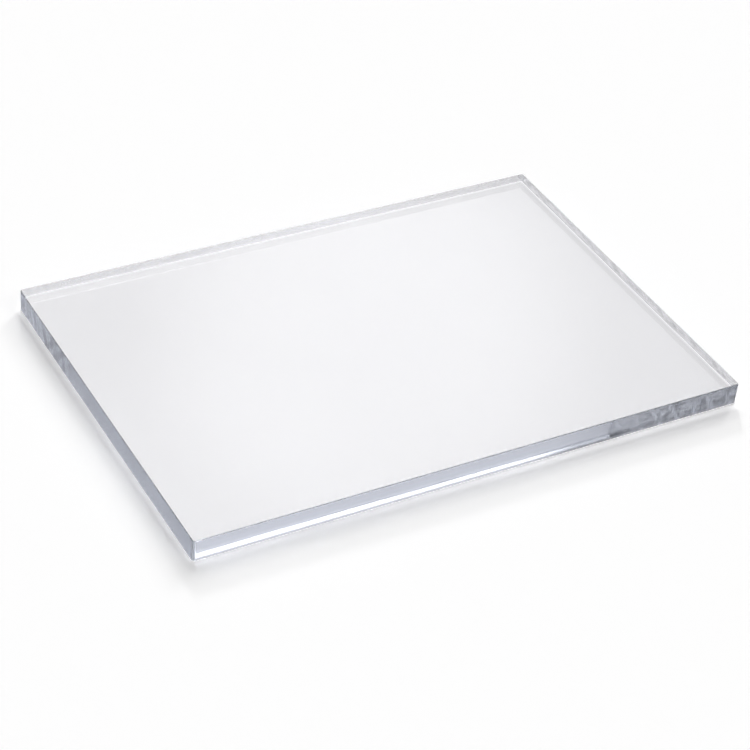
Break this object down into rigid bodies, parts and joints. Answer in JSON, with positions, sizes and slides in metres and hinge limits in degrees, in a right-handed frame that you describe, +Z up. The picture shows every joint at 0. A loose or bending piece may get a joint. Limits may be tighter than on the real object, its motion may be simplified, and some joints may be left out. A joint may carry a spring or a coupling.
{
  "type": "polycarbonate sheet",
  "caption": "Clear solid polycarbonate sheet: a flat rectangular panel with polished edges, lightly rounded corners and eased arrises, lying flat.",
  "frame": {"origin": "centre of the underside, on the surface that the sheet lies on", "axes": "+X along the long side, +Y along the short side towards the back edge, +Z up through the thickness"},
  "size_m": [0.3, 0.21, 0.012],
  "materials": {
    "clear_polycarbonate": "clear, colourless with a faint blue-grey cast at the edges; press-polished broad faces and machine-polished edges"
  },
  "bodies": {
    "root": {"sheet": "clear_polycarbonate"}
  },
  "joints": []
}
